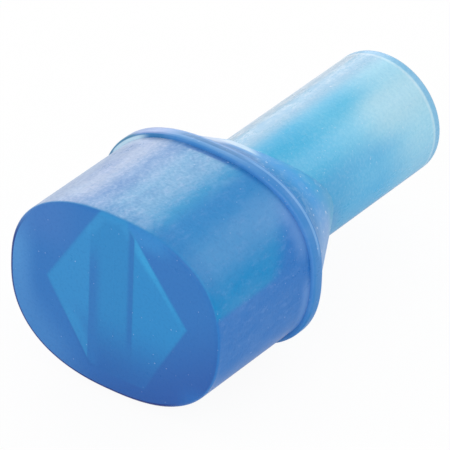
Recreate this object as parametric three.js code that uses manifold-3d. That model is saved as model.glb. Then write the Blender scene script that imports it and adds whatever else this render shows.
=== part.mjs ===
// Silicone bite valve for a drink tube: an oval mouthpiece with a slit diaphragm, a bite-stop flange,
// a sloping shoulder and a round sleeve that is pushed over the tube's end.
// Each solid is drawn about the valve's own axis: Y runs from the front face towards the open end of
// the sleeve, X is the wide way of the oval and Z is up. The last group lays it on the table.

import * as THREE from 'three';
import { mergeVertices } from 'three/addons/utils/BufferGeometryUtils.js';
import Module from 'manifold-3d';

const wasm = await Module();
wasm.setup();

// Head, in millimetres
const headLength = 16.4;
const headHalfWidth = 13.7;
const headHalfHeight = 10.95;
const headExponent = 2.4; // 2 would be an ellipse, more is squarer
const faceEdgeRadius = 0.5;
const biteWallHalfWidth = 7;
const biteAngle = 7; // degrees that each bite wall folds in
const reliefMargin = 0.5; // degrees that its rear end clears the flange by when folded

// Flange and shoulder
const flangeOverhang = 0.5;
const flangeExponent = 2.45;
const flangeThickness = 1.7;
const flangeEdgeRadius = 0.4;
const shoulderInset = 0.5;
const shoulderSlope = 0.55; // drop towards the axis for each millimetre along it

// Sleeve and its socket for the tube
const sleeveLength = 31.7; // from the back of the flange to the open end
const sleeveRadius = 7.45;
const sleeveRimRadius = 0.4;
const socketRadius = 4.6;
const socketLeadIn = 0.6;
const tubeStopLength = 4.5;
const flowPortRadius = 3.6;

// Hexagonal chamber in the head, and the diaphragm that closes its front
const chamberHalfWidth = 9.3;
const chamberHalfHeight = 9.3;
const hingeLineX = 3.1; // half the width of the flat top and bottom, and where each lip folds
const diaphragmThickness = 0.9;
const lipHalfLength = 7;
const lipRootThickness = 1.6;
const lipTipThickness = 0.5;

const gap = 0.3; // left between neighbouring solids

const outlinePoints = 72;
const edgeSteps = 3;

const flangeFront = headLength;
const flangeBack = flangeFront + flangeThickness;
const flangeHalfWidth = headHalfWidth + flangeOverhang;
const flangeHalfHeight = headHalfHeight + flangeOverhang;
const headBack = flangeFront - gap;
const sleeveFront = flangeBack + gap;
const overallLength = flangeBack + sleeveLength;
const chamber = { width: chamberHalfWidth, height: chamberHalfHeight, top: hingeLineX };
const farOut = 2 * (overallLength + flangeHalfWidth); // reach of the blocks that only cut

function silicone(color, roughness) {
  return new THREE.MeshStandardMaterial({ color, roughness, metalness: 0 });
}

const faceSilicone = silicone(0x4276be, 0.45);
const thinSilicone = silicone(0x3a8ac6, 0.45);
const headSilicone = silicone(0x488ecb, 0.4);
const flangeSilicone = silicone(0x4278c3, 0.4);
const shoulderSilicone = silicone(0x4a86c6, 0.4);
const sleeveSilicone = silicone(0x62b6e0, 0.35);

// Joins and cuts

function solid(geometry) {
  const plain = geometry.clone();
  plain.deleteAttribute('normal');
  plain.deleteAttribute('uv');
  const merged = mergeVertices(plain, 1e-4);
  const vertProperties = merged.attributes.position.array;
  const triVerts = new Uint32Array(merged.index.array);
  return new wasm.Manifold(new wasm.Mesh({ numProp: 3, vertProperties, triVerts }));
}

function geometryOf(body) {
  const { vertProperties, triVerts } = body.getMesh();
  const geometry = new THREE.BufferGeometry();
  geometry.setAttribute('position', new THREE.BufferAttribute(vertProperties, 3));
  geometry.setIndex(new THREE.BufferAttribute(triVerts, 1));
  geometry.computeVertexNormals();
  return geometry;
}

function piece(name, body, material) {
  const mesh = new THREE.Mesh(geometryOf(body), material);
  mesh.name = name;
  return mesh;
}

// A block from one corner to the other
function block([x0, y0, z0], [x1, y1, z1]) {
  const box = new THREE.BoxGeometry(x1 - x0, y1 - y0, z1 - z0);
  box.translate((x0 + x1) / 2, (y0 + y1) / 2, (z0 + z1) / 2);
  return solid(box);
}

// Outlines across the axis

function oval(halfWidth, halfHeight, exponent) {
  const points = [];
  for (let i = 0; i < outlinePoints; i++) {
    const angle = (2 * Math.PI * (i + 0.5)) / outlinePoints;
    const across = Math.abs(Math.cos(angle)) / halfWidth;
    const up = Math.abs(Math.sin(angle)) / halfHeight;
    const radius = (across ** exponent + up ** exponent) ** (-1 / exponent);
    points.push(new THREE.Vector2(radius * Math.cos(angle), radius * Math.sin(angle)));
  }
  return points;
}

// The chamber's hexagon, drawn in by a margin that is the same on every side
function hexagon({ width, height, top }, margin) {
  const slant = Math.hypot(height, width - top);
  const side = width - (margin * slant) / height;
  const level = height - margin;
  const corner = side - ((width - top) * level) / height;
  return [[side, 0], [corner, level], [-corner, level], [-side, 0], [-corner, -level], [corner, -level]]
    .map(([x, z]) => new THREE.Vector2(x, z));
}

// A straight prism along the axis, from one place on it to another
function prism(outline, from, to) {
  const shape = new THREE.Shape(outline);
  const extruded = new THREE.ExtrudeGeometry(shape, { depth: to - from, bevelEnabled: false });
  extruded.rotateX(Math.PI / 2);
  extruded.translate(0, to, 0);
  return solid(extruded);
}

// A closed solid through a row of outlines, each at its own place on the axis
function loft(sections) {
  const count = sections[0].outline.length;
  const positions = [];
  const index = [];
  sections.forEach(({ at, outline }) => outline.forEach(({ x, y }) => positions.push(x, at, y)));
  positions.push(0, sections[0].at, 0, 0, sections.at(-1).at, 0);
  const lastRing = (sections.length - 1) * count;
  const frontCentre = sections.length * count;
  for (let i = 0; i < count; i++) {
    const next = (i + 1) % count;
    for (let ring = 0; ring < lastRing; ring += count) {
      index.push(ring + i, ring + count + i, ring + next);
      index.push(ring + next, ring + count + i, ring + count + next);
    }
    index.push(frontCentre, i, next);
    index.push(frontCentre + 1, lastRing + next, lastRing + i);
  }
  const geometry = new THREE.BufferGeometry();
  geometry.setAttribute('position', new THREE.Float32BufferAttribute(positions, 3));
  geometry.setIndex(index);
  return solid(geometry);
}

// The points of a quarter round: how far in from the side, and how far along, at each step
function roundEdge(radius) {
  const steps = [];
  for (let i = 0; i <= edgeSteps; i++) {
    const turn = (Math.PI / 2) * (i / edgeSteps);
    steps.push({ inset: radius * (1 - Math.sin(turn)), along: radius * (1 - Math.cos(turn)) });
  }
  return steps;
}

// A solid of revolution about the axis, from a profile of [radius, place] that closes on itself
function turned(profile) {
  const points = [...profile, profile[0]].map(([radius, at]) => new THREE.Vector2(radius, at));
  return solid(new THREE.LatheGeometry(points, outlinePoints));
}

function rod(radius, from, to) {
  return turned([[0, from], [radius, from], [radius, to], [0, to]]);
}

// Head: four walls round the chamber

function headBlank() {
  const sections = roundEdge(faceEdgeRadius).map(({ inset, along }) => ({
    at: along,
    outline: oval(headHalfWidth - inset, headHalfHeight - inset, headExponent),
  }));
  sections.push({ at: headBack, outline: oval(headHalfWidth, headHalfHeight, headExponent) });
  return loft(sections).subtract(prism(hexagon(chamber, 0), -headLength, 2 * headLength));
}

// The wall above the chamber, or below it with side -1: its rear end leans away from the flange,
// so that the wall can fold in about its outer edge
function biteWall(blank, side) {
  const reach = biteWallHalfWidth - gap / 2;
  const half = block([-reach, -farOut, Math.min(0, side * farOut)], [reach, farOut, Math.max(0, side * farOut)]);
  const relief = new THREE.BoxGeometry(farOut, farOut, farOut);
  relief.translate(0, farOut / 2, 0);
  relief.rotateX(-side * THREE.MathUtils.degToRad(biteAngle + reliefMargin));
  relief.translate(0, headBack, side * headHalfHeight);
  return blank.intersect(half).subtract(solid(relief));
}

// The wall right of the chamber, or left of it with side -1
function sideWall(blank, side) {
  const near = side * (biteWallHalfWidth + gap / 2);
  const far = side * farOut;
  return blank.intersect(block([Math.min(near, far), -farOut, -farOut], [Math.max(near, far), farOut, farOut]));
}

// Diaphragm: thin webs at the sides, short folds above and below, and the two slit lips

function diaphragmBlank() {
  return prism(hexagon(chamber, gap), 0, diaphragmThickness);
}

function diaphragmWeb(blank, side) {
  const near = side * (hingeLineX + gap);
  const far = side * farOut;
  return blank.intersect(block([Math.min(near, far), -farOut, -farOut], [Math.max(near, far), farOut, farOut]));
}

function diaphragmFold(blank, side) {
  const near = side * (lipHalfLength + gap);
  const far = side * farOut;
  return blank.intersect(block([-hingeLineX, -farOut, Math.min(near, far)], [hingeLineX, farOut, Math.max(near, far)]));
}

// A wedge that is thick at its hinge line and thin at the slit, flush with the face
function slitLip(side) {
  const slit = (side * gap) / 2;
  const hinge = side * hingeLineX;
  const outline = [[slit, 0], [hinge, 0], [hinge, lipRootThickness], [slit, lipTipThickness]];
  const shape = new THREE.Shape(outline.map(([x, y]) => new THREE.Vector2(x, y)));
  const extruded = new THREE.ExtrudeGeometry(shape, { depth: 2 * lipHalfLength, bevelEnabled: false });
  extruded.translate(0, 0, -lipHalfLength);
  return solid(extruded);
}

// Flange: a plate with a rounded rim, open in the middle for the water

function flange() {
  const rim = roundEdge(flangeEdgeRadius);
  const front = rim.map(({ inset, along }) => ({ at: flangeFront + along, inset }));
  const back = rim.map(({ inset, along }) => ({ at: flangeBack - along, inset })).reverse();
  const sections = [...front, ...back].map(({ at, inset }) => ({
    at,
    outline: oval(flangeHalfWidth - inset, flangeHalfHeight - inset, flangeExponent),
  }));
  return loft(sections).subtract(rod(flowPortRadius, flangeFront - flangeThickness, flangeBack + flangeThickness));
}

// Shoulder: slopes at one steepness from the flange down to the sleeve, which it meets further
// back at the wide sides than above and below

function shoulder() {
  const footHalfWidth = flangeHalfWidth - shoulderInset;
  const footHalfHeight = flangeHalfHeight - shoulderInset;
  const seat = sleeveRadius + gap;
  const run = (footHalfWidth - seat) / shoulderSlope;
  const drop = footHalfWidth - seat;
  const cone = loft([
    { at: sleeveFront, outline: oval(footHalfWidth, footHalfHeight, flangeExponent) },
    { at: sleeveFront + run, outline: oval(footHalfWidth - drop, footHalfHeight - drop, flangeExponent) },
  ]);
  return cone.subtract(rod(seat, 0, overallLength));
}

// Sleeve: a tube with a rounded rim and a lead-in at its open end

function sleeve() {
  const rim = roundEdge(sleeveRimRadius).map(({ inset, along }) => [sleeveRadius - inset, overallLength - along]);
  return turned([
    [sleeveRadius, sleeveFront],
    ...rim.reverse(),
    [socketRadius + socketLeadIn, overallLength],
    [socketRadius, overallLength - socketLeadIn],
    [socketRadius, sleeveFront],
  ]);
}

// Ring at the front of the bore, whose far end the tube butts against
function tubeStop() {
  const outer = socketRadius - gap;
  const back = sleeveFront + tubeStopLength;
  return turned([
    [outer, sleeveFront],
    [outer, back],
    [flowPortRadius, back],
    [flowPortRadius, sleeveFront],
  ]);
}

const valve = new THREE.Group();
const walls = headBlank();
const diaphragm = diaphragmBlank();
valve.add(
  piece('upper_bite_wall', biteWall(walls, 1), headSilicone),
  piece('lower_bite_wall', biteWall(walls, -1), headSilicone),
  piece('left_side_wall', sideWall(walls, -1), headSilicone),
  piece('right_side_wall', sideWall(walls, 1), headSilicone),
  piece('left_diaphragm_web', diaphragmWeb(diaphragm, -1), thinSilicone),
  piece('right_diaphragm_web', diaphragmWeb(diaphragm, 1), thinSilicone),
  piece('upper_diaphragm_fold', diaphragmFold(diaphragm, 1), faceSilicone),
  piece('lower_diaphragm_fold', diaphragmFold(diaphragm, -1), faceSilicone),
  piece('left_slit_lip', slitLip(-1), thinSilicone),
  piece('right_slit_lip', slitLip(1), thinSilicone),
  piece('bite_stop_flange', flange(), flangeSilicone),
  piece('shoulder_collar', shoulder(), shoulderSilicone),
  piece('tube_sleeve', sleeve(), sleeveSilicone),
  piece('tube_stop_ring', tubeStop(), sleeveSilicone),
);
valve.position.set(0, -overallLength / 2, flangeHalfHeight);

const part = new THREE.Group();
part.add(valve);

export default part;
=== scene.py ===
import math

import bmesh
import bpy
from mathutils import Matrix, Vector


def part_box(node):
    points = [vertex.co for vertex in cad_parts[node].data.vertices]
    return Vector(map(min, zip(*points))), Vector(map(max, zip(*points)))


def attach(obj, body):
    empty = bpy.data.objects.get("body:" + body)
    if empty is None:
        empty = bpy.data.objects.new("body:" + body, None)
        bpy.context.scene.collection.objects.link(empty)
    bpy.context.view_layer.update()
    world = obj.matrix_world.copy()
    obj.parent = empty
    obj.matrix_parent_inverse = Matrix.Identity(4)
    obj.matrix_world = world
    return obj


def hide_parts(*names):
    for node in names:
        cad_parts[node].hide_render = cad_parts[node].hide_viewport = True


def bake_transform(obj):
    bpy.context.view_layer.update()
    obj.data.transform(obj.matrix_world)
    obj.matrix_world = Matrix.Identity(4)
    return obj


# bite valve of a drink tube: one silicone moulding, whose head gives when it is bitten
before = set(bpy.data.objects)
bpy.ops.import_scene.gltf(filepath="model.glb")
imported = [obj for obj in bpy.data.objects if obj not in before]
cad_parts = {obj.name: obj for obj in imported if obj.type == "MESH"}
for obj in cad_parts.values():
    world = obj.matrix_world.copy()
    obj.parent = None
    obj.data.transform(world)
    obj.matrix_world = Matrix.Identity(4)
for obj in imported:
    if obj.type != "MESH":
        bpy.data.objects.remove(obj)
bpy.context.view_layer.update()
scene = bpy.context.scene
mm = 0.001

# where the CAD puts things
upperLow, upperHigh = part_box("upper_bite_wall")
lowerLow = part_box("lower_bite_wall")[0]
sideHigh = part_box("right_side_wall")[1]
lipLow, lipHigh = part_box("right_slit_lip")
flangeLow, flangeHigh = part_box("bite_stop_flange")
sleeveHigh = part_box("tube_sleeve")[1]
ringLow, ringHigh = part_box("tube_stop_ring")

faceY = upperLow.y
axisZ = (flangeLow.z + flangeHigh.z) / 2
headHalfWidth = sideHigh.x
headHalfHeight = (upperHigh.z - lowerLow.z) / 2
flangeHalfWidth = flangeHigh.x
flangeHalfHeight = (flangeHigh.z - flangeLow.z) / 2
sleeveRadius = sleeveHigh.x
lipReach = lipHigh.x
lipHalfLength = (lipHigh.z - lipLow.z) / 2
print("frame loaded:", len(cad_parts), "CAD nodes")

# shared by the pieces
mergeWithin = 0.002 * mm  # points this close are one
shortestEdge = 0.001 * mm
sharpFrom = 38  # degrees between two faces
rearStart = flangeHigh.y - 0.05 * mm  # collar and sleeve start a little inside the flange


def addObject(name, data):
    added = bpy.data.objects.new(name, data)
    scene.collection.objects.link(added)
    return added


# camera at the photograph's angle, aimed by two offsets from the middle of the face
cameraView = {
    "up": (-0.34406, 0.42169, 0.83888),
    "back": (0.48274, -0.68748, 0.54358),
    "distance": 600 * mm,
    "aimRight": 11.76 * mm,
    "aimUp": 8.42 * mm,
    "lens": 459.6,
    "nearest": 10 * mm,
}

back = Vector(cameraView["back"]).normalized()
right = Vector(cameraView["up"]).cross(back).normalized()
up = back.cross(right)
aim = Vector((0, faceY, axisZ)) + cameraView["aimRight"] * right + cameraView["aimUp"] * up
camera = addObject("camera", bpy.data.cameras.new("camera"))
camera.data.lens = cameraView["lens"]
camera.data.clip_start = cameraView["nearest"]
turn = Matrix((right, up, back)).transposed().to_4x4()
camera.matrix_world = Matrix.Translation(aim + cameraView["distance"] * back) @ turn
scene.camera = camera
print("camera placed")


# an sRGB hex colour as linear red, green, blue and alpha
def linear(hexColour):
    channels = [int(hexColour[i:i + 2], 16) / 255 for i in (1, 3, 5)]
    return (*[c / 12.92 if c <= 0.04045 else ((c + 0.055) / 1.055) ** 2.4 for c in channels], 1.0)


# one node with its settings; each input gets a value or a link
def addNode(tree, kind, inputs=None, **settings):
    node = tree.nodes.new(kind)
    for key, value in settings.items():
        setattr(node, key, value)
    for key, value in (inputs or {}).items():
        if isinstance(value, bpy.types.NodeSocket):
            tree.links.new(value, node.inputs[key])
        else:
            node.inputs[key].default_value = value
    return node


# Every part of the valve is one kind of silicone rubber, pressed in a tool with a satin finish.
# To the eye that is a low, slightly cloudy gloss over a milky blue that pales where it is thin.
silicone = {
    "ior": 1.41,
    # three noises: size in mm, detail and roughness
    "grain": (0.35, 3.0, 0.6),  # the tool's finish, drawn coarser than it is so that it shows
    "cloud": (5.0, 7.0, 0.7),  # patches of handling dust, which also mottle the painted highlights
    "wisp": (0.8, 5.0, 0.75),  # finer ones
    "dustAndHighlightAlong": 0.45,  # below 1 draws the dust and the mottling of the painted highlights out along the valve
    "reliefDepth": 0.04,  # mm
    "reliefStrength": 0.5,
    "glossClouds": (0.3, 0.7),  # values of the clouds between which the roughness drifts
    "glossDrift": (-0.04, 0.05),  # from so much below a finish's own to so much above it
    "shineBelow": 0.04,  # lower gloss on the underside, so that the paper doesn't bleach it
    "belowRise": (1.5, -3.0),  # mm, from none of it to all of it on the way down
    "belowDepth": (0.3, 1.0),  # mm, and on the way back from the face
    "lintFrom": 0.4,  # the share of cells that have no speck
    "lintColour": "#e4eefb",
}

# the chamber's outline as the clear skin of the face shows it, corner by corner, mm across and up
chamberSeen = [(-8.5, 0.3), (-1.8, 11.0), (1.15, 11.2), (9.5, 0.95), (4.2, -8.4), (-2.75, -8.4)]

# measures that the painting reads, in mm: a direction from the middle of the face
measures = {
    "across": (1, 0, 0),
    "depth": (0, 1, 0),
    "rise": (0, 0, 1),
    "backLow": (0, 1, -1),
    "lowRight": (0.6, 0, -1),
    "upLeft": (-0.45, 0, 0.89),
    "lowLeft": (-0.7, 0, -0.7),
}


def mouldedSilicone(name, finish):
    material = bpy.data.materials.new(name)
    material.use_nodes = True
    tree = material.node_tree
    tree.nodes.clear()
    spot = addNode(tree, "ShaderNodeTexCoord").outputs["Object"]
    fromFace = addNode(tree, "ShaderNodeVectorMath", {
        0: spot, 1: (0, faceY, axisZ)}, operation="SUBTRACT")
    inMm = addNode(tree, "ShaderNodeVectorMath", {
        0: fromFace.outputs[0], "Scale": 1 / mm}, operation="SCALE")
    sockets = {}
    for key, direction in measures.items():
        sockets[key] = addNode(tree, "ShaderNodeVectorMath", {
            0: inMm.outputs[0], 1: direction}, operation="DOT_PRODUCT").outputs["Value"]

    # how far a point is outside the chamber's outline: its largest distance to one of the six sides
    if finish.get("showsChamber"):
        for (x0, z0), (x1, z1) in zip(chamberSeen, chamberSeen[1:] + chamberSeen[:1]):
            side = Vector((z0 - z1, 0, x1 - x0)).normalized()
            beyond = addNode(tree, "ShaderNodeVectorMath", {
                0: inMm.outputs[0], 1: side}, operation="DOT_PRODUCT").outputs["Value"]
            beyond = addNode(tree, "ShaderNodeMath", {
                0: beyond, 1: side.x * x0 + side.z * z0}, operation="SUBTRACT").outputs[0]
            if "outside" in sockets:
                beyond = addNode(tree, "ShaderNodeMath", {
                    0: sockets["outside"], 1: beyond}, operation="MAXIMUM").outputs[0]
            sockets["outside"] = beyond

    # the tool's grain, and clouds and wisps of handling dust drawn out along the valve, which mottle
    # the painted highlights too
    streaks = addNode(tree, "ShaderNodeVectorMath", {
        0: inMm.outputs[0], 1: (1, silicone["dustAndHighlightAlong"], 1)}, operation="MULTIPLY")
    for key, place in (("grain", inMm), ("cloud", streaks), ("wisp", streaks)):
        size, detail, roughness = silicone[key]
        sockets[key] = addNode(tree, "ShaderNodeTexNoise", {
            "Vector": place.outputs[0], "Scale": 1 / size, "Detail": detail,
            "Roughness": roughness}).outputs["Fac"]

    # layers of colour: hex value, amount, and the measures that all have to go from the first value
    # to the second before the layer shows in full
    colour = linear(finish["colour"])
    for hexColour, amount, conditions in finish["layers"]:
        share = amount
        for key, start, end in conditions:
            share = addNode(tree, "ShaderNodeMapRange", {
                "Value": sockets[key], "From Min": start, "From Max": end, "To Max": share},
                interpolation_type="SMOOTHSTEP").outputs[0]
        colour = addNode(tree, "ShaderNodeMix", {
            "Factor": share, "A": colour, "B": linear(hexColour)},
            data_type="RGBA").outputs["Result"]

    # specks of lint, from few and large to many and small: each sits in a cell of its own, if chance
    # gives it a size (mm across a cell, half the largest speck in mm, and how much it shows)
    for every, size, shows in finish["lint"]:
        shifted = addNode(tree, "ShaderNodeVectorMath", {
            0: inMm.outputs[0], 1: (every, 2 * every, 3 * every)}, operation="ADD")
        cells = addNode(tree, "ShaderNodeTexVoronoi", {
            "Vector": shifted.outputs[0], "Scale": 1 / every})
        chance = addNode(tree, "ShaderNodeTexWhiteNoise", {
            "Vector": cells.outputs["Color"]}).outputs["Value"]
        reach = addNode(tree, "ShaderNodeMapRange", {
            "Value": chance, "From Min": silicone["lintFrom"], "From Max": 1.0,
            "To Max": size / every})
        speck = addNode(tree, "ShaderNodeMath", {
            0: reach.outputs[0], 1: cells.outputs["Distance"]}, operation="GREATER_THAN")
        shown = addNode(tree, "ShaderNodeMath", {
            0: speck.outputs[0], 1: shows}, operation="MULTIPLY")
        colour = addNode(tree, "ShaderNodeMix", {
            "Factor": shown.outputs[0], "A": colour, "B": linear(silicone["lintColour"])},
            data_type="RGBA").outputs["Result"]

    # roughness that drifts with the clouds, and a shine that falls off below, but not on the face
    start, end = silicone["glossClouds"]
    smoother, rougher = silicone["glossDrift"]
    gloss = addNode(tree, "ShaderNodeMapRange", {
        "Value": sockets["cloud"], "From Min": start, "From Max": end,
        "To Min": finish["roughness"] + smoother, "To Max": finish["roughness"] + rougher})
    start, end = silicone["belowRise"]
    below = addNode(tree, "ShaderNodeMapRange", {
        "Value": sockets["rise"], "From Min": start, "From Max": end,
        "To Min": finish["shine"], "To Max": silicone["shineBelow"]})
    start, end = silicone["belowDepth"]
    shine = addNode(tree, "ShaderNodeMapRange", {
        "Value": sockets["depth"], "From Min": start, "From Max": end,
        "To Min": finish["shine"], "To Max": below.outputs[0]})
    relief = addNode(tree, "ShaderNodeBump", {
        "Height": sockets["grain"], "Strength": silicone["reliefStrength"],
        "Distance": silicone["reliefDepth"] * mm})
    shader = addNode(tree, "ShaderNodeBsdfPrincipled", {
        "Base Color": colour, "Roughness": gloss.outputs[0], "IOR": silicone["ior"],
        "Specular IOR Level": shine.outputs[0], "Normal": relief.outputs[0]})
    addNode(tree, "ShaderNodeOutputMaterial", {"Surface": shader.outputs[0]})
    return material


# One node tree sweeps a profile round the axis. Each point of the profile carries an inset or radius
# (x), a place on the axis (y), the outline that it follows (z: 0 oval, 1 circle, 2 the chamber's
# hexagon) and a share of full size ("grow"), which closes a face at its middle.
# These are the tree's inputs, with the values that it has until a piece sets its own.
sweepInputs = {
    "Half Width": 10 * mm,
    "Half Height": 10 * mm,
    "Exponent": 2.0,
    "Chamber Wide": 5 * mm,
    "Chamber High": 5 * mm,
    "Chamber Top": 2 * mm,
    "Points Around": 96,
}


def buildSweepTree():
    tree = bpy.data.node_groups.new("sweptProfile", "GeometryNodeTree")
    sockets = tree.interface
    sockets.new_socket("Geometry", in_out="INPUT", socket_type="NodeSocketGeometry")
    for name, value in sweepInputs.items():
        kind = "NodeSocketInt" if isinstance(value, int) else "NodeSocketFloat"
        sockets.new_socket(name, in_out="INPUT", socket_type=kind).default_value = value
    sockets.new_socket("Material", in_out="INPUT", socket_type="NodeSocketMaterial")
    sockets.new_socket("Geometry", in_out="OUTPUT", socket_type="NodeSocketGeometry")
    given = addNode(tree, "NodeGroupInput").outputs

    # a grid with a row for each point of the profile and a column for each point around
    rows = addNode(tree, "GeometryNodeAttributeDomainSize", {
        0: given["Geometry"]}).outputs["Point Count"]
    columns = addNode(tree, "ShaderNodeMath", {
        0: given["Points Around"], 1: 1.0}, operation="ADD").outputs[0]
    grid = addNode(tree, "GeometryNodeMeshGrid", {
        "Size X": 1.0, "Size Y": 1.0, "Vertices X": columns, "Vertices Y": rows}).outputs["Mesh"]
    position = addNode(tree, "GeometryNodeInputPosition").outputs[0]
    spot = addNode(tree, "ShaderNodeSeparateXYZ", {0: position}).outputs
    around = addNode(tree, "ShaderNodeMath", {0: spot[0], 1: 0.5}, operation="ADD").outputs[0]
    angle = addNode(tree, "ShaderNodeMath", {
        0: around, 1: 2 * math.pi}, operation="MULTIPLY").outputs[0]
    along = addNode(tree, "ShaderNodeMath", {0: spot[1], 1: 0.5}, operation="ADD").outputs[0]
    lastRow = addNode(tree, "ShaderNodeMath", {0: rows, 1: 1.0}, operation="SUBTRACT").outputs[0]
    row = addNode(tree, "ShaderNodeMath", {0: along, 1: lastRow}, operation="MULTIPLY").outputs[0]
    row = addNode(tree, "FunctionNodeFloatToInt", {0: row}, rounding_mode="ROUND").outputs[0]
    grow = addNode(tree, "GeometryNodeInputNamedAttribute", {"Name": "grow"}, data_type="FLOAT")
    sampled = []
    for kind, value in (("FLOAT_VECTOR", position), ("FLOAT", grow.outputs["Attribute"])):
        sampler = addNode(tree, "GeometryNodeSampleIndex", data_type=kind, domain="POINT")
        tree.links.new(given["Geometry"], sampler.inputs["Geometry"])
        tree.links.new(value, sampler.inputs["Value"])
        tree.links.new(row, sampler.inputs["Index"])
        sampled.append(sampler.outputs["Value"])
    profile = addNode(tree, "ShaderNodeSeparateXYZ", {0: sampled[0]}).outputs

    cosine = addNode(tree, "ShaderNodeMath", {0: angle}, operation="COSINE").outputs[0]
    sine = addNode(tree, "ShaderNodeMath", {0: angle}, operation="SINE").outputs[0]
    across = addNode(tree, "ShaderNodeMath", {0: cosine}, operation="ABSOLUTE").outputs[0]
    upward = addNode(tree, "ShaderNodeMath", {0: sine}, operation="ABSOLUTE").outputs[0]

    # oval: (|cos| / a) ** e + (|sin| / b) ** e, to the power -1 / e
    terms = []
    for name, part in (("Half Width", across), ("Half Height", upward)):
        half = addNode(tree, "ShaderNodeMath", {
            0: given[name], 1: profile[0]}, operation="SUBTRACT").outputs[0]
        share = addNode(tree, "ShaderNodeMath", {0: part, 1: half}, operation="DIVIDE").outputs[0]
        terms.append(addNode(tree, "ShaderNodeMath", {
            0: share, 1: given["Exponent"]}, operation="POWER").outputs[0])
    total = addNode(tree, "ShaderNodeMath", {0: terms[0], 1: terms[1]}, operation="ADD").outputs[0]
    root = addNode(tree, "ShaderNodeMath", {
        0: -1.0, 1: given["Exponent"]}, operation="DIVIDE").outputs[0]
    ovalRadius = addNode(tree, "ShaderNodeMath", {0: total, 1: root}, operation="POWER").outputs[0]

    # hexagon: the nearer of its flat top and its slant
    flat = addNode(tree, "ShaderNodeMath", {
        0: upward, 1: given["Chamber High"]}, operation="DIVIDE").outputs[0]
    wide = addNode(tree, "ShaderNodeMath", {
        0: across, 1: given["Chamber Wide"]}, operation="DIVIDE").outputs[0]
    top = addNode(tree, "ShaderNodeMath", {
        0: given["Chamber Top"], 1: given["Chamber Wide"]}, operation="DIVIDE").outputs[0]
    rest = addNode(tree, "ShaderNodeMath", {0: 1.0, 1: top}, operation="SUBTRACT").outputs[0]
    high = addNode(tree, "ShaderNodeMath", {0: flat, 1: rest}, operation="MULTIPLY").outputs[0]
    slant = addNode(tree, "ShaderNodeMath", {0: wide, 1: high}, operation="ADD").outputs[0]
    nearer = addNode(tree, "ShaderNodeMath", {0: flat, 1: slant}, operation="MAXIMUM").outputs[0]
    hexagonRadius = addNode(tree, "ShaderNodeMath", {
        0: 1.0, 1: nearer}, operation="DIVIDE").outputs[0]

    # the outline that this point of the profile follows, at its share of full size
    kind = addNode(tree, "FunctionNodeFloatToInt", {
        0: profile[2]}, rounding_mode="ROUND").outputs[0]
    outline = addNode(tree, "GeometryNodeIndexSwitch", data_type="FLOAT")
    outline.index_switch_items.new()
    tree.links.new(kind, outline.inputs["Index"])
    for number, radius in enumerate((ovalRadius, profile[0], hexagonRadius)):
        tree.links.new(radius, outline.inputs[number + 1])
    radius = addNode(tree, "ShaderNodeMath", {
        0: outline.outputs[0], 1: sampled[1]}, operation="MULTIPLY").outputs[0]
    placeX = addNode(tree, "ShaderNodeMath", {0: radius, 1: cosine}, operation="MULTIPLY").outputs[0]
    placeZ = addNode(tree, "ShaderNodeMath", {0: radius, 1: sine}, operation="MULTIPLY").outputs[0]
    level = addNode(tree, "ShaderNodeMath", {0: placeZ, 1: axisZ}, operation="ADD").outputs[0]
    moved = addNode(tree, "ShaderNodeCombineXYZ", {0: placeX, 1: profile[1], 2: level}).outputs[0]

    shaped = addNode(tree, "GeometryNodeSetPosition", {
        "Geometry": grid, "Position": moved}).outputs[0]
    closed = addNode(tree, "GeometryNodeMergeByDistance", {
        "Geometry": shaped, "Distance": mergeWithin}).outputs[0]
    real = addNode(tree, "GeometryNodeRealizeInstances", {"Geometry": closed}).outputs[0]
    dressed = addNode(tree, "GeometryNodeSetMaterial", {
        "Geometry": real, "Material": given["Material"]})
    addNode(tree, "NodeGroupOutput", {0: dressed.outputs[0]})
    return tree


sweptProfile = buildSweepTree()


# a closed mesh from a profile: the tree's result as plain faces, with its seam merged
def sweep(name, profile, sizes):
    line = bpy.data.meshes.new(name)
    steps = [(i, i + 1) for i in range(len(profile) - 1)]
    line.from_pydata([point[:3] for point in profile], steps, [])
    grow = line.attributes.new("grow", "FLOAT", "POINT")
    grow.data.foreach_set("value", [point[3] for point in profile])
    maker = addObject(name, line)
    modifier = maker.modifiers.new("sweep", "NODES")
    modifier.node_group = sweptProfile
    inputs = [item for item in sweptProfile.interface.items_tree if item.in_out == "INPUT"]
    identifiers = {item.name: item.identifier for item in inputs}
    for key, value in sizes.items():
        modifier[identifiers[key]] = value
    evaluated = maker.evaluated_get(bpy.context.evaluated_depsgraph_get())
    mesh = bpy.data.meshes.new_from_object(evaluated)
    bpy.data.objects.remove(maker)
    solid = bmesh.new()
    solid.from_mesh(mesh)
    bmesh.ops.remove_doubles(solid, verts=solid.verts[:], dist=mergeWithin)
    bmesh.ops.dissolve_degenerate(solid, edges=solid.edges[:], dist=shortestEdge)
    bmesh.ops.recalc_face_normals(solid, faces=solid.faces[:])
    solid.to_mesh(mesh)
    solid.free()
    return mesh


# a solid from loops of points, each joined to the next: it runs round, or has two flat ends
def joinLoops(name, loops, runsRound):
    solid = bmesh.new()
    loops = [[solid.verts.new(point) for point in loop] for loop in loops]
    if runsRound:
        loops.append(loops[0])
    for first, second in zip(loops, loops[1:]):
        for k in range(len(first)):
            after = (k + 1) % len(first)
            solid.faces.new((first[k], first[after], second[after], second[k]))
    if not runsRound:
        solid.faces.new(loops[0])
        solid.faces.new(loops[-1])
    bmesh.ops.recalc_face_normals(solid, faces=solid.faces[:])
    mesh = bpy.data.meshes.new(name)
    solid.to_mesh(mesh)
    solid.free()
    return mesh


# a quarter round, as pairs of how far in from the side and how far along
def quarterRound(radius, steps):
    turns = [math.pi / 2 * step / steps for step in range(steps + 1)]
    return [(radius * (1 - math.sin(turned)), radius * (1 - math.cos(turned))) for turned in turns]


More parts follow.
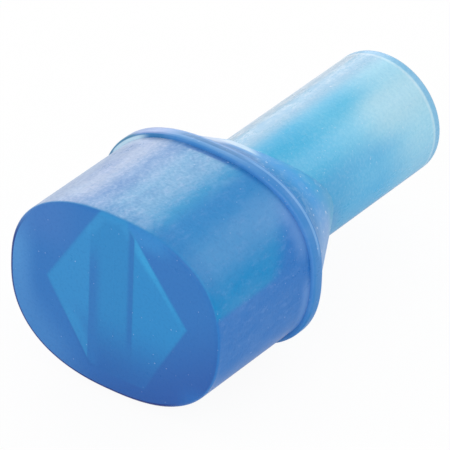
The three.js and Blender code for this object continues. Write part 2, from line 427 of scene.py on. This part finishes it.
# makes a finished mesh a piece that stands for its CAD nodes
def showPiece(name, mesh, material, nodes):
    mesh.name = name
    mesh.materials.clear()
    mesh.materials.append(material)
    mesh.polygons.foreach_set("use_smooth", [True] * len(mesh.polygons))
    mesh.set_sharp_from_angle(angle=math.radians(sharpFrom))
    piece = addObject(name, mesh)
    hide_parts(*nodes)
    return piece


# head: one blank, cut where the moulding gives
head = {
    "exponent": 2.4,
    "edgeRadius": 0.5 * mm,
    "edgeSteps": 6,
    "faceRings": 22,
    "sideRows": (1.0, 2.2, 4.0, 6.5, 9.0, 11.5, 14.0),  # mm back from the face
    "skin": 0.9 * mm,  # thickness of the face over the chamber
    "skinShares": (1, 0.66, 0.33, 0),  # rings on its inner side, as shares of the chamber's outline
    "chamberRows": (12.0, 8.0, 4.0),  # mm back from the face
    "chamberWide": 9.3 * mm,  # half widths of the hexagon at mid height and at its top
    "chamberTop": 3.1 * mm,
    "chamberHigh": 9.3 * mm,  # half its height
    "around": 192,
    "onCut": 1e-7,  # m, points this near a cut lie on it
    "skinTurn": 0.8,  # least cosine between a face and the normal that it gets from the blank
}

behindEdge = ("depth", 0.2, 0.6)  # mm, on the side and not on the face

# the thin skin in front of the chamber is brighter and greener than the solid wall round it,
# and the side wall shows the chamber's slant as a change from cyan to violet blue
headFinish = {
    "colour": "#3274ba",
    "roughness": 0.30,
    "shine": 0.2,
    "lint": [(4.1, 0.13, 0.32), (1.4, 0.10, 0.24), (0.7, 0.08, 0.18)],
    "showsChamber": True,
    "layers": [
        # face, round the chamber: painted light along the left margin, where light comes through
        # from behind, and painted shade towards the lower right
        ("#4d8dcb", 1.0, [("across", -9.5, -13.0)]),
        ("#4177bc", 0.8, [("across", -3, -9), ("rise", 2, 7)]),
        ("#4584c4", 0.8, [("lowLeft", 7.5, 11.5)]),
        ("#2e5da8", 1.0, [("lowRight", 2, 15)]),
        ("#3888c9", 0.9, [("across", 8.5, 5.0), ("across", -2.0, 0.0), ("rise", 7.6, 9.6)]),
        # the chamber through the skin, with the folds on both sides of the slit
        ("#2f85c2", 1.0, [("outside", 0.35, -0.3)]),
        ("#348ac7", 1.0, [("outside", 0.35, -0.3), ("across", -2.9, -3.2)]),
        ("#2e88c6", 1.0, [("outside", 0.3, -0.2), ("across", 2.5, 2.9)]),
        ("#2e6ab1", 1.0, [("outside", 0.5, 0.1), ("rise", -0.5, -8.6)]),
        # painted highlights: pale strips along the chamber's slants, where its slanted walls catch
        # the light through the skin
        ("#389ed6", 0.7, [("outside", -1.3, -0.5), ("outside", 0.15, -0.1), ("across", 2.5, 2.9),
                          ("rise", 4, 7)]),
        ("#389ed6", 0.5, [("outside", -0.8, -0.4), ("outside", 0.1, -0.2), ("across", 2.5, 2.9),
                          ("rise", -0.5, 4)]),
        ("#3894ce", 0.6, [("outside", -2.2, -0.7), ("outside", 0.15, -0.1), ("across", -2.95, -3.25),
                          ("rise", -1, -4)]),
        ("#3b94ce", 0.5, [("outside", -1.4, -0.6), ("outside", 0.2, -0.1), ("across", -5.2, -4.0),
                          ("rise", 7, 8.6)]),
        ("#3175b9", 0.9, [("outside", 0.2, -0.3), ("across", -3.25, -2.95), ("across", -1.2, -2.6),
                          ("rise", 7.5, 3.0)]),
        ("#2d70b5", 0.8, [("outside", 0.2, -0.3), ("across", 1.6, 2.2), ("across", 2.7, 2.5),
                          ("rise", -6, -3)]),
        # side: cyan over the chamber and violet blue below it and behind it
        ("#3487c6", 1.0, [("depth", 0.12, 0.42)]),
        ("#4590ca", 0.9, [("depth", 0.12, 0.42), ("across", 6.5, 9.8)]),
        ("#5b97d0", 0.5, [("depth", 8, 14), ("across", 6.5, 9), ("rise", 6.5, 8.0)]),
        ("#1688c6", 1.0, [("depth", 0.12, 0.42), ("rise", 7.8, 5.2)]),
        ("#2b76c2", 1.0, [("backLow", 5.0, 8.8), ("across", 8, 12)]),
        ("#2e77c3", 1.0, [("depth", 0.05, 0.3), ("rise", 3.9, 3.1)]),
        ("#367bc6", 1.0, [("depth", 0.1, 0.4), ("rise", -0.5, -3.5)]),
        # painted shade along the underside
        ("#0a4aa0", 0.6, [behindEdge, ("rise", -5.6, -6.8), ("across", 6, 9)]),
        # side, upper left: a painted highlight, mottled by the dust clouds and wisps, with a darker
        # strip by the face's top edge
        ("#3896cb", 1.0, [behindEdge, ("upLeft", 6.6, 8.0)]),
        ("#6fa9d3", 1.0, [behindEdge, ("upLeft", 7.7, 9.2)]),
        ("#548bc3", 1.0, [behindEdge, ("upLeft", 10.2, 11.1)]),
        ("#93aacb", 1.0, [behindEdge, ("upLeft", 11.2, 12.0)]),
        ("#2f7bbd", 0.35, [behindEdge, ("depth", 3.2, 1.2), ("rise", 4, 7),
                           ("across", -9, -6)]),
        ("#9fc0e0", 0.30, [behindEdge, ("upLeft", 6.5, 9), ("cloud", 0.48, 0.62)]),
        ("#4c7fc0", 0.35, [behindEdge, ("upLeft", 8, 10), ("cloud", 0.5, 0.36)]),
        ("#c3d4ea", 0.25, [behindEdge, ("upLeft", 7.0, 9.5), ("wisp", 0.46, 0.72)]),
        # handling dust and the tool's grain, all over the side
        ("#8fb2dc", 0.10, [behindEdge, ("cloud", 0.42, 0.64)]),
        ("#86abdf", 0.15, [behindEdge, ("wisp", 0.5, 0.7)]),
        ("#0f4f9c", 0.10, [("grain", 0.52, 0.36)]),
        # grain within the painted highlight
        ("#eef4fc", 0.09, [behindEdge, ("upLeft", 7.5, 10), ("grain", 0.48, 0.66)]),
        ("#3f7fc0", 0.10, [behindEdge, ("upLeft", 7.5, 10), ("grain", 0.5, 0.36)]),
        # a dark outline painted along the rounded edge of the face, lower left
        ("#06307f", 0.95, [("depth", 0.0, 0.01), ("depth", 0.6, 0.4), ("lowLeft", -0.5, 2.5),
                           ("rise", 7, 3)]),
        # by the flange: a shadow over the top, and light on both sides of it
        ("#1f62b0", 0.55, [("depth", 15.4, 16.1), ("across", 11, 3), ("rise", 3, 8),
                           ("across", -2, 3)]),
        ("#1f62b0", 0.6, [("depth", 15.6, 15.9), ("across", 4, 1.5), ("rise", 3, 8),
                          ("across", -4, -1.5)]),
        ("#c9d6ee", 0.6, [("depth", 14.2, 15.8), ("across", -6, -9), ("rise", 2, 5)]),
        ("#7fa8de", 0.38, [("depth", 13.8, 15.8), ("rise", 2.5, 5), ("rise", 9.5, 7.5),
                           ("across", 8, 10)]),
        ("#6a98d6", 0.8, [("depth", 14.4, 15.9), ("rise", 2, -1), ("across", 8, 11)]),
    ],
}


def headProfile():
    rings = head["faceRings"]
    rows = [(head["edgeRadius"], faceY, 0, ring / rings) for ring in range(rings)]
    edge = quarterRound(head["edgeRadius"], head["edgeSteps"])
    rows += [(inset, faceY + along, 0, 1) for inset, along in edge]
    rows += [(0, faceY + depth * mm, 0, 1) for depth in head["sideRows"]]
    rows += [(0, flangeLow.y, 0, 1), (0, flangeLow.y, 2, 1)]
    rows += [(0, faceY + depth * mm, 2, 1) for depth in head["chamberRows"]]
    rows += [(0, faceY + head["skin"], 2, share) for share in head["skinShares"]]
    return rows


headMaterial = mouldedSilicone("mouldedSiliconeHead", headFinish)
blank = sweep("headBlank", headProfile(), {
    "Half Width": headHalfWidth, "Half Height": headHalfHeight, "Exponent": head["exponent"],
    "Chamber Wide": head["chamberWide"], "Chamber High": head["chamberHigh"],
    "Chamber Top": head["chamberTop"], "Points Around": head["around"], "Material": headMaterial})


# keeps what lies on the far side of every plane, and closes the cuts
def cutBlank(planes):
    solid = bmesh.new()
    solid.from_mesh(blank)
    solid.normal_update()
    skin = solid.verts.layers.float_vector.new("skinNormal")
    for vertex in solid.verts:
        vertex[skin] = vertex.normal
    for point, towards in planes:
        everything = solid.verts[:] + solid.edges[:] + solid.faces[:]
        bmesh.ops.bisect_plane(solid, geom=everything, dist=head["onCut"], plane_co=point,
                               plane_no=towards, clear_inner=True)
        rim = [edge for edge in solid.edges if edge.is_boundary]
        filled = bmesh.ops.holes_fill(solid, edges=rim, sides=0)["faces"]
        bmesh.ops.triangulate(solid, faces=filled)
    mesh = bpy.data.meshes.new("cut")
    solid.to_mesh(mesh)
    solid.free()
    return mesh


# gives the cut edges the normals of the whole blank, so that no seam shows
def keepSkinNormals(mesh):
    skin = mesh.attributes["skinNormal"].data
    corners = [Vector(normal.vector) for normal in mesh.corner_normals]
    for face in mesh.polygons:
        for corner in face.loop_indices:
            wanted = Vector(skin[mesh.loops[corner].vertex_index].vector).normalized()
            if wanted.dot(face.normal) > head["skinTurn"]:
                corners[corner] = wanted
    mesh.normals_split_custom_set(corners)
    mesh.attributes.remove(mesh.attributes["skinNormal"])


def headPiece(name, planes, nodes):
    piece = showPiece(name, cutBlank(planes), headMaterial, nodes)
    keepSkinNormals(piece.data)
    return piece


# the walls turn about their rear outer edges; these planes part each zone from its neighbours
roundness = head["exponent"]
cornerX = headHalfWidth * (1 - (lipHalfLength / headHalfHeight) ** roundness) ** (1 / roundness)
topZ, bottomZ = axisZ + lipHalfLength, axisZ - lipHalfLength
belowTop = ((0, 0, topZ), (0, 0, -1))
aboveBottom = ((0, 0, bottomZ), (0, 0, 1))

for zoneName, sign, nodes, wall in (
        ("upperBiteWall", 1, ("upper_bite_wall", "upper_diaphragm_fold"), "upper_wall"),
        ("lowerBiteWall", -1, ("lower_bite_wall", "lower_diaphragm_fold"), "lower_wall")):
    level = axisZ + sign * lipHalfLength
    zone = headPiece(zoneName, [((0, 0, level), (0, 0, sign))], nodes)
    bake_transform(zone)

for side, sign in (("left", -1), ("right", 1)):
    cheekCuts = [belowTop, aboveBottom, ((sign * cornerX, 0, 0), (sign, 0, 0))]
    cheek = headPiece(side + "Cheek", cheekCuts, [side + "_side_wall"])
    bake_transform(cheek)
    webCuts = [belowTop, aboveBottom, ((sign * cornerX, 0, 0), (-sign, 0, 0)),
               ((sign * lipReach, 0, 0), (sign, 0, 0))]
    web = headPiece(side + "Web", webCuts, [side + "_diaphragm_web"])
    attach(web, "root")
print("head cut into its walls and webs")


# slit lips: wedges that are thick where they fold and thin at the slit
lip = {
    "slit": 0.001 * mm,  # half the width of the closed slit
    "tipRound": 0.003 * mm,
    "tipThick": 0.5 * mm,
    "rootThick": 1.6 * mm,
    "stepsAcross": 6,
    "rows": 26,
}


def lipMesh(sign, upwards):
    tip = lip["slit"]
    bend = lip["tipRound"]
    outline = [(tip, bend), (tip + bend, 0)]
    reach = lipReach - tip - bend
    steps = lip["stepsAcross"]
    outline += [(tip + bend + reach * (k + 1) / steps, 0) for k in range(steps)]
    outline += [(lipReach, lip["rootThick"]), (tip, lip["tipThick"])]
    rows = []
    for row in range(lip["rows"] + 1):
        z = axisZ + upwards * lipHalfLength * row / lip["rows"]
        rows.append([(sign * x, faceY + depth, z) for x, depth in outline])
    return joinLoops("lip", rows, runsRound=False)


# each lip is split at mid height; its ends stay still and its middle opens fully
for side, sign in (("left", -1), ("right", 1)):
    for half, upwards in (("Upper", 1), ("Lower", -1)):
        piece = showPiece(side + half + "Lip", lipMesh(sign, upwards), headMaterial,
                          [side + "_slit_lip"])
        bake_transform(piece)
print("slit lips made")


# flange: the stop for the teeth, with a rounded rim and the water's port
flange = {
    "exponent": 2.45,
    "edgeRadius": 0.4 * mm,
    "edgeSteps": 5,
    "port": 3.6 * mm,  # radius
    "innerInset": 5 * mm,
    "around": 192,
}

# the thickest part of the moulding: a full, even blue, with a painted highlight along its rear edge
flangeFinish = {
    "colour": "#4087ca",
    "roughness": 0.30,
    "shine": 0.3,
    "lint": [(2.6, 0.13, 0.40), (0.9, 0.10, 0.30), (0.45, 0.08, 0.22)],
    "layers": [
        # painted highlight, paler towards the upper left of the rim
        ("#6aa2d8", 0.7, [("upLeft", 5, 10)]),
        ("#8fa6d6", 0.9, [("across", -4, -7.5), ("rise", 7, 9)]),
        # front corner: painted shade, a dark line over the top that pales on the way down
        ("#4b8dd0", 1.0, [("depth", 16.58, 16.46)]),
        ("#4289cc", 1.0, [("depth", 16.58, 16.46), ("upLeft", 4, 8)]),
        ("#1d6a96", 0.5, [("depth", 16.55, 16.44), ("across", -4, -7)]),
        ("#2a75ae", 0.8, [("depth", 16.95, 17.1), ("depth", 17.7, 17.5), ("upLeft", 7, 9.5),
                          ("across", -6, -3)]),
        # a painted highlight along the rear edge, and a painted glint at the far left where the rim
        # catches the light between two dark lines
        ("#74aae0", 0.9, [("depth", 17.25, 17.4), ("depth", 17.72, 17.6), ("across", 3, 6),
                          ("rise", 2, 4.5)]),
        ("#2b6f9f", 0.8, [("depth", 16.55, 16.44), ("across", -8, -10), ("rise", 3, 5)]),
        ("#d2effa", 0.85, [("depth", 16.2, 16.27), ("depth", 16.5, 16.4), ("across", -7.6, -9.4),
                           ("across", -12.9, -12.3), ("rise", 4, 6)]),
        ("#2f7c9c", 0.8, [("depth", 16.42, 16.52), ("depth", 17.1, 16.8), ("across", -9.2, -10.6),
                          ("rise", 3, 5)]),
        ("#5f80c0", 0.5, [("depth", 17.7, 17.9), ("upLeft", 7, 9)]),
        ("#a9c4e6", 0.12, [("cloud", 0.42, 0.64)]),
    ],
}


def flangeProfile():
    port, inner = flange["port"], flange["innerInset"]
    edge = quarterRound(flange["edgeRadius"], flange["edgeSteps"])
    rows = [(port, flangeLow.y, 1, 1), (inner, flangeLow.y, 0, 1)]
    rows += [(inset, flangeLow.y + along, 0, 1) for inset, along in edge]
    rows += [(inset, flangeHigh.y - along, 0, 1) for inset, along in reversed(edge)]
    rows += [(inner, flangeHigh.y, 0, 1), (port, flangeHigh.y, 1, 1), (port, flangeLow.y, 1, 1)]
    return rows


flangeMaterial = mouldedSilicone("mouldedSiliconeFlange", flangeFinish)
flangeMesh = sweep("flange", flangeProfile(), {
    "Half Width": flangeHalfWidth, "Half Height": flangeHalfHeight, "Exponent": flange["exponent"],
    "Points Around": flange["around"], "Material": flangeMaterial})
piece = showPiece("biteStopFlange", flangeMesh, flangeMaterial, ["bite_stop_flange"])
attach(piece, "root")
print("flange made")


# collar: slopes down to the sleeve and ends in a small rounded step
collar = {
    "inset": 0.5 * mm,  # its foot stands in from the flange's rim
    "slope": 0.55,  # mm inwards for each mm along
    "exponent": 2.45,
    "step": 0.16 * mm,  # how far its end stands up from the sleeve
    "endProfile": ((0.03, 0.09), (0.10, 0.15), (0.31, 0.17)),  # mm inwards and along
    "rows": 20,
    "around": 192,
}

# blue at the flange and paler towards the thin sleeve, with a dark streak and two painted
# highlights, upper left
collarFinish = {
    "colour": "#2c83c5",
    "roughness": 0.32,
    "shine": 0.07,  # the dustiest part
    "lint": [(1.6, 0.18, 0.75), (0.8, 0.15, 0.60), (0.4, 0.10, 0.30)],
    "layers": [
        ("#4c9cdc", 1.0, [("depth", 19, 23)]),
        ("#45a6da", 1.0, [("depth", 23, 26)]),
        ("#6a9dd6", 0.9, [("depth", 18.4, 20), ("rise", 6, 1)]),
        ("#49a6cf", 0.9, [("depth", 24.5, 28), ("rise", 6, 1)]),
        ("#3a7ab8", 0.7, [("depth", 18.8, 19.5), ("depth", 21.4, 20.6), ("upLeft", 6.4, 7.4),
                          ("across", -3, -1)]),
        # painted highlights: a bright one where the collar meets the sleeve, and a wider, paler one
        # behind it
        ("#d8effc", 0.8, [("depth", 21.6, 22.6), ("upLeft", 6.2, 7.2), ("upLeft", 9.2, 8.0),
                          ("across", -5, -2.5)]),
        ("#e6eefa", 0.6, [("depth", 19.2, 20.6), ("depth", 25, 22.5), ("upLeft", 6, 8),
                          ("across", -0.5, -2.5), ("across", -7.5, -5)]),
        ("#9fc2e4", 0.35, [("wisp", 0.46, 0.7)]),
        ("#a9c4e6", 0.12, [("cloud", 0.42, 0.64)]),
    ],
}


def ovalRadius(halfWidth, halfHeight, angle):
    wide = abs(math.cos(angle)) / halfWidth
    high = abs(math.sin(angle)) / halfHeight
    return (wide ** collar["exponent"] + high ** collar["exponent"]) ** (-1 / collar["exponent"])


def collarMesh():
    footWidth = flangeHalfWidth - collar["inset"]
    footHeight = flangeHalfHeight - collar["inset"]
    drop = footWidth - sleeveRadius
    run = drop / collar["slope"]
    columns = []
    for number in range(collar["around"]):
        angle = 2 * math.pi * number / collar["around"]
        foot = ovalRadius(footWidth, footHeight, angle)
        tip = ovalRadius(footWidth - drop, footHeight - drop, angle)
        reach = (foot - sleeveRadius - collar["step"]) / (foot - tip)
        shares = [reach * row / collar["rows"] for row in range(collar["rows"] + 1)]
        points = [(foot + (tip - foot) * share, rearStart + run * share) for share in shares]
        lastRadius, lastY = points[-1]
        for inwards, along in collar["endProfile"]:
            points.append((lastRadius - inwards * mm, lastY + along * mm))
        points.append((points[-1][0], rearStart))
        columns.append([(r * math.cos(angle), y, axisZ + r * math.sin(angle)) for r, y in points])
    return joinLoops("collar", columns, runsRound=True)


collarMaterial = mouldedSilicone("mouldedSiliconeCollar", collarFinish)
piece = showPiece("shoulderCollar", collarMesh(), collarMaterial, ["shoulder_collar"])
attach(piece, "root")
print("collar made")


# sleeve that is pushed over the tube, and the ring in its bore that stops the tube
sleeve = {
    "rimRadius": 0.4 * mm,
    "rimSteps": 6,
    "bore": 4.6 * mm,  # radius
    "leadIn": 0.6 * mm,
    "leadInSteps": 4,
    "around": 160,
    "rows": 12,
    "ringEdge": 0.15 * mm,
    "ringSteps": 3,
    "ringPort": 3.6 * mm,  # radius
    "ringOverlap": 0.1 * mm,  # how far the ring stands into the sleeve's wall
}

# the thin wall lets light through from the bore, and that light is painted in: pale cyan, paler
# still towards the open end
sleeveFinish = {
    "colour": "#4aa8d9",
    "roughness": 0.27,
    "shine": 0.3,
    "lint": [(2.6, 0.13, 0.45), (0.9, 0.10, 0.33), (0.45, 0.08, 0.25)],
    "layers": [
        ("#6a9dd2", 0.9, [("depth", 32, 27), ("rise", 1.5, -1)]),
        ("#5abae3", 1.0, [("upLeft", -0.5, 2.5)]),
        ("#48b4df", 1.0, [("upLeft", 3.5, 5.5)]),
        ("#5cb8e3", 1.0, [("depth", 29, 37), ("upLeft", 2, -2)]),
        ("#42b0e2", 0.8, [("depth", 29, 35), ("upLeft", -2, -4.5)]),
        ("#84cce9", 1.0, [("depth", 29, 40), ("upLeft", -1.5, 3)]),
        ("#5cbde2", 1.0, [("depth", 29, 38), ("upLeft", 3.5, 5.5)]),
        ("#a0d7ec", 1.0, [("depth", 37.5, 46.5), ("upLeft", -12, 1)]),
        ("#a9d7e9", 0.9, [("depth", 36, 43), ("upLeft", -1, 2), ("upLeft", 5.5, 4)]),
        # upper left: a painted highlight, where the light meets the wall edge on
        ("#7cb2d1", 1.0, [("across", 1.0, -1.3), ("rise", -1, 3)]),
        ("#a2bccf", 0.9, [("across", -2.6, -3.8), ("rise", 1, 4.5)]),
        ("#e2eaf2", 1.0, [("across", -4.4, -5.7), ("rise", 2, 4.6)]),
        ("#dce8f2", 0.50, [("across", 0.5, -3.0), ("rise", 1, 4.5), ("wisp", 0.44, 0.7)]),
        ("#7fb0d6", 0.40, [("across", 0.0, -3.0), ("wisp", 0.5, 0.3)]),
        # lower right: painted shade and a darker outline, where the wall turns away
        ("#5f9acb", 0.6, [("rise", -3.4, -4.5), ("rise", -7.4, -5.0), ("across", 2, 5)]),
        ("#3a78a8", 0.45, [("rise", -4.0, -4.6), ("rise", -5.8, -4.8), ("across", 4, 5)]),
        # rim: a bluer band with a light line before it and a grey outline
        ("#cfe6f2", 0.4, [("depth", 48.2, 48.5), ("depth", 48.8, 48.6)]),
        ("#76b6dd", 0.85, [("depth", 48.6, 48.9)]),
        ("#56809f", 0.8, [("depth", 49.5, 49.65), ("depth", 49.79, 49.76)]),
        ("#a9c4e6", 0.08, [("cloud", 0.42, 0.64)]),
        ("#2f86bc", 0.07, [("grain", 0.52, 0.36)]),
        ("#f2f8fc", 0.05, [("grain", 0.48, 0.66)]),
    ],
}


def sleeveProfile():
    bore, steps = sleeve["bore"], sleeve["rows"]
    straight = sleeveHigh.y - sleeve["rimRadius"] - rearStart
    rows = [(sleeveRadius, rearStart + straight * k / steps, 1, 1) for k in range(steps)]
    for inset, along in reversed(quarterRound(sleeve["rimRadius"], sleeve["rimSteps"])):
        rows.append((sleeveRadius - inset, sleeveHigh.y - along, 1, 1))
    leadIn = quarterRound(sleeve["leadIn"], sleeve["leadInSteps"])
    rows += [(bore + inset, sleeveHigh.y - along, 1, 1) for inset, along in leadIn]
    rows += [(bore, ringHigh.y, 1, 1), (bore, rearStart, 1, 1), (sleeveRadius, rearStart, 1, 1)]
    return rows


def ringProfile():
    port, outer = sleeve["ringPort"], sleeve["bore"] + sleeve["ringOverlap"]
    rows = [(port, ringLow.y, 1, 1), (outer, ringLow.y, 1, 1), (outer, ringHigh.y, 1, 1)]
    edge = quarterRound(sleeve["ringEdge"], sleeve["ringSteps"])
    rows += [(port + inset, ringHigh.y - along, 1, 1) for inset, along in edge]
    return rows + [(port, ringLow.y, 1, 1)]


sleeveMaterial = mouldedSilicone("mouldedSiliconeSleeve", sleeveFinish)
roundSizes = {"Points Around": sleeve["around"], "Material": sleeveMaterial}
for name, profile, node in (("tubeSleeve", sleeveProfile(), "tube_sleeve"),
                            ("tubeStopRing", ringProfile(), "tube_stop_ring")):
    piece = showPiece(name, sweep(name, profile, roundSizes), sleeveMaterial, [node])
    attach(piece, "root")
print("sleeve and stop ring made")


# white paper under the valve, and a light studio round it
studio = {
    "floor": 6.0,  # m across
    "paper": "#f4f4f4",
    "paperGlow": 0.94,  # how much of what is seen of the paper is plain white
    "ambient": 0.82,
}

floorMesh = bpy.data.meshes.new("floor")
half = studio["floor"] / 2
corners = [(-half, -half, 0), (half, -half, 0), (half, half, 0), (-half, half, 0)]
floorMesh.from_pydata(corners, [], [(0, 1, 2, 3)])
floor = addObject("floor", floorMesh)
paper = bpy.data.materials.new("whitePaper")
paper.use_nodes = True
floorMesh.materials.append(paper)
world = bpy.data.worlds.new("studio")
world.use_nodes = True
scene.world = world

# rays from the camera, from gloss and through glass meet plain white, all others the studio's light
paper.node_tree.nodes.clear()
world.node_tree.nodes.clear()
for tree, glow in ((paper.node_tree, studio["paperGlow"]), (world.node_tree, 1.0)):
    light = addNode(tree, "ShaderNodeLightPath").outputs
    seen = addNode(tree, "ShaderNodeMath", {
        0: light["Is Camera Ray"], 1: light["Is Glossy Ray"]}, operation="MAXIMUM").outputs[0]
    seen = addNode(tree, "ShaderNodeMath", {
        0: seen, 1: light["Is Transmission Ray"]}, operation="MAXIMUM").outputs[0]
    seen = addNode(tree, "ShaderNodeMath", {0: seen, 1: glow}, operation="MULTIPLY").outputs[0]
    if tree == paper.node_tree:
        plain = addNode(tree, "ShaderNodeBsdfDiffuse", {
            "Color": linear(studio["paper"])}).outputs[0]
        white = addNode(tree, "ShaderNodeEmission", {
            "Color": (1, 1, 1, 1), "Strength": 1.0}).outputs[0]
        output = "ShaderNodeOutputMaterial"
    else:
        plain = addNode(tree, "ShaderNodeBackground", {
            "Color": (1, 1, 1, 1), "Strength": studio["ambient"]}).outputs[0]
        white = addNode(tree, "ShaderNodeBackground", {
            "Color": (1, 1, 1, 1), "Strength": 1.0}).outputs[0]
        output = "ShaderNodeOutputWorld"
    mixed = addNode(tree, "ShaderNodeMixShader", {0: seen, 1: plain, 2: white}).outputs[0]
    addNode(tree, output, {"Surface": mixed})

# the window makes the pale highlight along the upper left, the back lamp the soft one on the right:
# place and size in m, watts and colour
lamps = {
    "windowLamp": ((-0.54, 0.56, 0.30), (0.62, 0.50), 2.4, "#fff7f4"),
    "backLamp": ((0.34, 0.58, 0.52), (0.34, 0.30), 0.65, "#ffffff"),
    "frontLamp": ((0.15, -0.75, 0.45), (0.5, 0.5), 1.6, "#ffffff"),
}
for name, (place, size, watts, hexColour) in lamps.items():
    data = bpy.data.lights.new(name, "AREA")
    data.shape = "RECTANGLE"
    data.size, data.size_y = size
    data.energy = watts
    data.color = linear(hexColour)[:3]
    lampObject = addObject(name, data)
    lampObject.location = place
    towards = Vector((0, 0, axisZ)) - lampObject.location
    lampObject.rotation_euler = towards.to_track_quat("-Z", "Y").to_euler()
print("studio set")

scene.view_settings.view_transform = "Standard"
